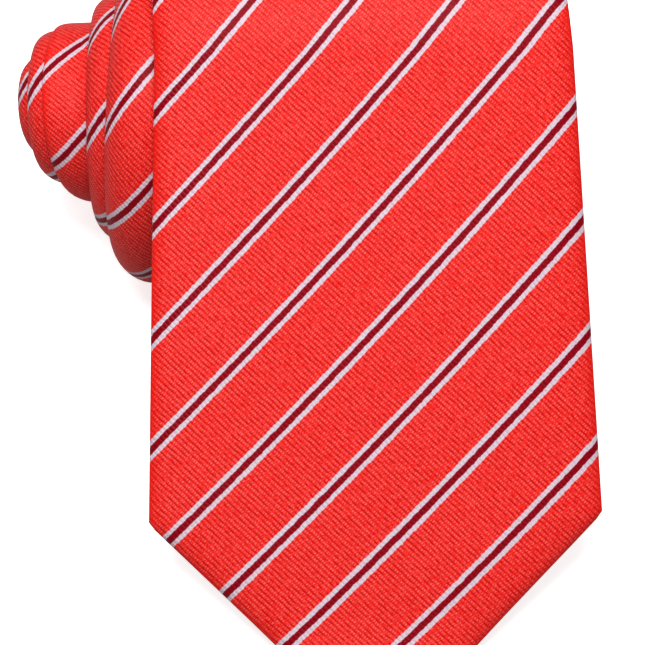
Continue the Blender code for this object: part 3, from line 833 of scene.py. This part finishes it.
def silk_material(name):
    """Striped twill: red ground, and dark red stripes with white borders."""
    n = Nodes(name)
    number, along = n.weave()
    rib, groove_shade, pale = twill(n, number, along)
    in_core, in_band = stripe_masks(n, number, rib)
    # painted sheen: the real weave's flecks and a random mottle mix in the pale pink glint of light
    # on the yarn floats
    mottle = n.ramp(n.noise(3200.0, 2.0), 0.40, 0.66, 0.0, 0.26)
    ground = n.mix(n.math("MAXIMUM", n.math("MULTIPLY", pale, 0.66), mottle), RIB_RED, FLECK_GLINT_PINK)
    # painted shade: the grooves between the ribs are darkened
    ground = n.mix(n.math("MULTIPLY", groove_shade, 0.82), ground, GROOVE_SHADE_AND_THREAD_RED)
    # painted light along the folded edges: the fold attribute mixes in a brighter, more saturated
    # red
    fold = n.tree.nodes.new("ShaderNodeAttribute")
    fold.attribute_name = "fold"
    ground = n.mix(n.math("MULTIPLY", fold.outputs["Fac"], 0.8), ground, FOLD_LIGHT_RED)
    # painted shade in the grooves of the white borders and of the dark cores as well
    colour = n.mix(in_band, ground, n.mix(groove_shade, BAND_WHITE, BAND_SHADE))
    colour = n.mix(in_core, colour, n.mix(groove_shade, CORE_LIGHT, CORE_GROOVE_SHADE))
    thread = n.noise(2600.0, 1.0)
    colour = n.mix(n.ramp(thread, 0.35, 0.75, 0.0, 0.16), colour, GROOVE_SHADE_AND_THREAD_RED)
    height = n.math("ADD", n.ramp(rib, 0.05, 0.5, 1.0, 0.0), n.math("MULTIPLY", pale, 0.5))
    height = n.math("ADD", height, n.math("MULTIPLY", thread, 0.25))
    n.bump(height, 0.00007, 0.8)
    return n.finish(colour, 0.38, 0.01, SHEEN_PINK, 0.09)


def woven_material(name, light, dark, pitch, roughness, sheen=0.1):
    """Plain or satin cloth: fine threads both ways, in millimetres."""
    n = Nodes(name)
    over = n.math("MULTIPLY", *(n.ramp(n.cell(n.math("DIVIDE", way, pitch)), 0.1, 0.5, 1.0, 0.0)
                                for way in n.weave()))
    uneven = n.math("MULTIPLY", n.noise(1800.0), 0.5)
    # painted shade: each thread is darker where it falls away into the gaps between threads and
    # lighter on its crown, mixed with random uneven tone
    colour = n.mix(n.math("ADD", n.math("MULTIPLY", over, 0.6), n.math("MULTIPLY", uneven, 0.7)),
                   dark, light)
    n.bump(n.math("ADD", over, uneven), 0.00005, 0.8)
    return n.finish(colour, roughness, sheen)


def felt_material(name, light, dark):
    """Brushed wool: fibres over larger soft patches."""
    n = Nodes(name)
    fibres = n.noise(1500.0, 6.0)
    patches = n.noise(180.0, 3.0)
    colour = n.mix(n.ramp(n.math("MULTIPLY", n.math("ADD", fibres, patches), 0.5), 0.3, 0.7),
                   dark, light)
    n.bump(fibres, 0.00015, 0.8)
    return n.finish(colour, 0.95, 0.3)


def thread_material(name, light, dark):
    """Twisted sewing thread."""
    n = Nodes(name)
    twist = n.noise(4200.0, 3.0)
    n.bump(twist, 0.00005, 0.7)
    return n.finish(n.mix(n.ramp(twist, 0.35, 0.65), dark, light), 0.55, 0.15)


# ---- the pieces ----------------------------------------------------------------------------------
BLADE_END = FREE_LENGTH + float(length_to(WRAP_START, 0))
DIVISIONS = (                    # part, how it follows the bodies, and the node it stands for
    ("tip", "tip", "blade_tip"),
    ("blade", "lift", "front_blade"),
    ("wrap", "roll", "blade_wrap"),
    ("slide", "slide", None),
    ("coil", "core", "coil_blade"),
    ("neck", "core", "neck"),
    ("tail", "core", "tail"),
)


def spaced(start, end, step):
    """Values from start to end, with one more of them beyond each end to steer the shading."""
    count = max(3, int(math.ceil(abs(end - start) / step)) + 1)
    inner = np.linspace(start, end, count)
    gap = inner[1] - inner[0]
    return np.concatenate([[start - gap], inner, [end + gap]])


def roll_angles(start, end, side):
    """Angles whose spacing follows the cloth's length rather than the angle."""
    marks = np.interp([start, end], TABLE, LENGTHS[side])
    step = ROLL_STEP if min(start, end) < FINE_FROM else FINE_FACTOR * ROLL_STEP
    lengths = spaced(marks[0], marks[1], step)
    return np.interp(lengths, LENGTHS[side], TABLE)


def blade_rows(places):
    """Stations on the free blade and on the roll beyond it, by distance from the wide tip."""
    places = np.asarray(places, float)
    beyond = places[places > FREE_LENGTH] - FREE_LENGTH
    return joined([ramp_rows(places[places <= FREE_LENGTH]),
                   roll_rows(np.interp(beyond, LENGTHS[0], TABLE), 0)])


def tail_roll_rows(from_tail):
    """Stations on the tail's half, by distance from the tail's tip."""
    angle = np.interp(np.asarray(from_tail, float) - TAIL_BEYOND, LENGTHS[1], TABLE)
    return roll_rows(angle, 1)


def inner_rows(rows):
    """The stations without the first and the last, which only steer the silk's shading."""
    return {key: value[1:-1] for key, value in rows.items()}


def follow(piece, way):
    """Attaches a piece to its body's empty for the roll and the core; the tip, lift and slide
    pieces only have their transform baked into the mesh.
    """
    if way == "tip":
        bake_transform(piece)
    elif way == "lift":
        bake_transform(piece)
    elif way == "slide":
        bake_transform(piece)
    else:
        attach(piece, way)
    return piece


def wound(start, end, side=0):
    """Stations between two angles on the roll, on the blade's half or on the tail's."""
    return roll_rows(roll_angles(start, end, side), side)


def build_layer(rows, make, ending, node_ending):
    """Makes one layer of the tie, divided where its bodies meet."""
    for part, way, node in DIVISIONS:
        piece = make(part + ending, rows[part])
        if node:
            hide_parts(node + node_ending)
        follow(piece, way)


def build_silk():
    """Silk shells. The stations at both ends of each only steer its shading."""
    tip = spaced(BLUNT, TIP_CUT, RAMP_STEP)
    tip[0] = 0.6 * BLUNT
    front = roll_angles(PIECING_FRONT, END_ANGLE, 0)[:-1]
    rear = roll_angles(END_ANGLE, PIECING_REAR, 1)[1:]
    tail_angles = roll_angles(PIECING_REAR, START_ANGLE, 1)[:-2]
    tail_end = np.append(np.arange(0.0, TAIL_BEYOND - BLUNT, RAMP_STEP), TAIL_BEYOND - BLUNT)
    rows = {
        "tip": ramp_rows(tip),
        "blade": blade_rows(spaced(TIP_CUT, BLADE_END, RAMP_STEP)),
        "wrap": wound(WRAP_START, SLIDE_START),
        "slide": wound(SLIDE_START, SLIDE_END),
        "coil": wound(SLIDE_END, PIECING_FRONT),
        "neck": joined([roll_rows(front, 0), fold_rows(np.linspace(0.0, 1.0, 13)[1:-1]),
                        roll_rows(rear, 1)]),
        "tail": joined([roll_rows(tail_angles, 1),
                        tail_rows(np.append(tail_end, TAIL_BEYOND - 0.0007))]),
    }
    build_layer(rows, lambda name, part: make_silk(name, part, silk_material(name)),
                "_silk", "_shell")


def build_interlinings():
    """Felt strips inside the silk, divided where the silk is."""
    rows = {
        "tip": ramp_rows(np.linspace(0.006, TIP_CUT, 60)),
        "blade": blade_rows(np.linspace(TIP_CUT, BLADE_END, 40)),
        "wrap": inner_rows(wound(WRAP_START, SLIDE_START)),
        "slide": inner_rows(wound(SLIDE_START, SLIDE_END)),
        "coil": inner_rows(wound(SLIDE_END, PIECING_FRONT)),
        "neck": joined([inner_rows(wound(PIECING_FRONT, END_ANGLE)),
                        fold_rows(np.linspace(0.0, 1.0, 9)[1:-1]),
                        inner_rows(wound(END_ANGLE, PIECING_REAR, 1))]),
        "tail": joined([inner_rows(wound(PIECING_REAR, START_ANGLE, 1)),
                        tail_rows(np.linspace(0.001, TAIL_BEYOND - 0.006, 24))]),
    }
    build_layer(rows, lambda name, part: make_band(
        name, part, felt_material(name, (0.80, 0.76, 0.67), (0.62, 0.57, 0.48)),
        CLOTH + LAYER_GAP, INTERLINING), "_pad", "_interlining")


def build_linings():
    """Tipping panels in the openings behind the tips."""
    from_tip = np.linspace(0.0150, 0.0560, 40)
    from_tail = np.linspace(0.0330, 0.0145, 24)
    plan = [
        ("tip_lining", from_tip, ramp_rows(from_tip), "blade_tipping", "tip"),
        ("tail_lining", from_tail, tail_rows(TAIL_BEYOND - from_tail), "tail_tipping", "core"),
    ]
    for name, away, rows, node, way in plan:
        opening = half_width(away) - flap_widths(rows["s"])[0]
        reach = np.maximum(opening + LINING_TUCK, LINING_LEAST)
        lining = woven_material(name, (0.50, 0.02, 0.03), (0.22, 0.004, 0.008), 0.28, 0.34)
        piece = make_band(name, rows, lining, TIE - CLOTH - 0.00022,
                          0.0002, reach)
        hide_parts(node)
        follow(piece, way)


def build_labels():
    """Keeper loop, blank label and blank care label, each sewn down round its edge."""
    thread = thread_material("label_thread", (0.62, 0.05, 0.06), (0.34, 0.01, 0.02))
    low = TIE + LAYER_GAP
    plan = [
        ("keeper", KEEPER_AT, KEEPER_SIZE, blade_rows, low, "striped_silk", "keeper_loop", "roll",
         woven_material("keeper_cloth", (0.80, 0.06, 0.05), (0.50, 0.01, 0.01), 0.45, 0.45)),
        ("label", LABEL_AT, LABEL_SIZE, blade_rows, low, "label_satin", "blank_label", "roll",
         woven_material("label_cloth", (0.05, 0.05, 0.10), (0.015, 0.015, 0.035), 0.25, 0.38)),
        ("care_tag", CARE_LABEL_FROM_TAIL, CARE_LABEL_SIZE, tail_roll_rows, TIE + 0.0001,
         "care_label_satin", "care_label", "core",
         woven_material("care_cloth", (0.86, 0.85, 0.82), (0.66, 0.65, 0.62), 0.25, 0.42)),
    ]
    for name, centre, size, rows_of, base, slot, node, way, cloth in plan:
        rows = rows_of(np.linspace(centre - size[1] / 2, centre + size[1] / 2, 24))
        piece = make_band(name, rows, cloth, base, size[2], size[0] / 2)
        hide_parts(node)
        follow(piece, way)
        lines = edge_lines(rows_of, centre, size, base + size[2])
        follow(make_threads(name + "_stitches", lines, LABEL_THREAD, thread), way)


def build_stitches():
    """Bar tacks, and the slip stitch along the free blade's seam."""
    thread = thread_material("seam_thread", (0.66, 0.05, 0.06), (0.38, 0.01, 0.02))
    tacks = [("blade_tack", ramp_rows, BAR_TACK_AT, TIE + LAP_RISE, "front_bar_tack",
              "front_blade"),
             ("tail_tack", tail_roll_rows, BAR_TACK_FROM_TAIL, TIE + 0.0001, "rear_bar_tack",
              "core")]
    for name, rows_of, centre, low, node, way in tacks:
        tack = make_threads(name, tack_lines(rows_of, centre, low), TACK_THREAD, thread)
        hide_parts(node)
        follow(tack, way)
    seams = [("tip_seam", 0.0640, 0.0880, "tip"),
             ("blade_seam", 0.0960, FREE_LENGTH - 0.006, "lift")]
    for name, start, end, way in seams:
        follow(make_threads(name, seam_lines(ramp_rows, start, end), SEAM_THREAD, thread), way)


# ---- floor, light and camera ---------------------------------------------------------------------
CAMERA_DISTANCE = 0.750
VIEW_WIDTH = 0.12070         # of the picture at the free blade
VIEW_ROLL = math.radians(1.46)
AIM_ACROSS = -0.00900        # of the picture's middle, from the blade's centre line
AIM_ALONG = 0.07950          # and from the wide tip
SKY_STRENGTH = 0.28
KEY_AT = (-0.03, -0.05, 0.86)
KEY_TARGET = (0.0, 0.0, 0.03)
KEY_SIZE = 0.40
KEY_WATTS = 6.45
FLOOR_SIZE = 6.0
FLOOR_BOUNCE = (0.45, 0.45, 0.45)   # what the floor sends back, while the camera sees it white
FLOOR_GLOW = 0.60


def build_stage():
    """Plain pale floor."""
    n = Nodes("paper")
    n.bump(n.noise(400.0, 4.0), 0.0002, 0.3)
    seen = n.tree.nodes.new("ShaderNodeLightPath").outputs["Is Camera Ray"]
    shade = n.mix(n.ramp(n.noise(6.0), 0.3, 0.7), (0.93,) * 3, (0.95,) * 3)
    shade = n.mix(seen, FLOOR_BOUNCE, shade)
    n.shader.inputs["Emission Color"].default_value = (1.0, 1.0, 1.0, 1.0)
    n.put(n.shader.inputs["Emission Strength"], n.math("MULTIPLY", seen, FLOOR_GLOW))
    n.finish(shade, 0.9)
    bpy.ops.mesh.primitive_plane_add(size=FLOOR_SIZE, location=(0.0, 0.0, 0.0))
    floor = bpy.context.object
    floor.name = "floor"
    floor.data.materials.append(n.material)


def world_light(strength):
    """Even white light from all round."""
    world = bpy.data.worlds.new("studio")
    world.use_nodes = True
    sky = world.node_tree.nodes["Background"]
    sky.inputs["Color"].default_value = (1.0, 1.0, 1.0, 1.0)
    sky.inputs["Strength"].default_value = strength
    bpy.context.scene.world = world


def area_light(name, position, target, size, power):
    """Soft square light that looks at its target."""
    data = bpy.data.lights.new(name, "AREA")
    data.size = size
    data.energy = power
    made = bpy.data.objects.new(name, data)
    made.location = position
    direction = Vector(target) - Vector(position)
    made.rotation_euler = direction.to_track_quat("-Z", "Y").to_euler()
    bpy.context.scene.collection.objects.link(made)


def build_camera():
    """Camera square to the free blade, turned a little about its own axis."""
    up = np.array([0.0, *RAMP_UP])
    out = np.array([0.0, *RAMP_OUT])
    across = np.array([1.0, 0.0, 0.0])
    aim = HINGE + across * AIM_ACROSS + up * (AIM_ALONG - FREE_LENGTH)
    picture_right = across * math.cos(VIEW_ROLL) - up * math.sin(VIEW_ROLL)
    picture_up = across * math.sin(VIEW_ROLL) + up * math.cos(VIEW_ROLL)
    data = bpy.data.cameras.new("camera")
    data.sensor_width = 36.0
    data.lens = 36.0 * CAMERA_DISTANCE / VIEW_WIDTH
    data.clip_start = 0.01
    made = bpy.data.objects.new("camera", data)
    place_at = aim + out * CAMERA_DISTANCE
    columns = [picture_right, picture_up, out, place_at]
    rows = [[float(column[i]) for column in columns] for i in range(3)]
    made.matrix_world = Matrix(rows + [[0.0, 0.0, 0.0, 1.0]])
    bpy.context.scene.collection.objects.link(made)
    bpy.context.scene.camera = made


def main():
    build_silk()
    build_interlinings()
    build_linings()
    build_labels()
    build_stitches()
    build_stage()
    world_light(SKY_STRENGTH)
    area_light("key", KEY_AT, KEY_TARGET, KEY_SIZE, KEY_WATTS)
    bpy.context.scene.view_settings.view_transform = "Standard"
    bpy.context.scene.view_settings.look = "Medium High Contrast"
    build_camera()


main()
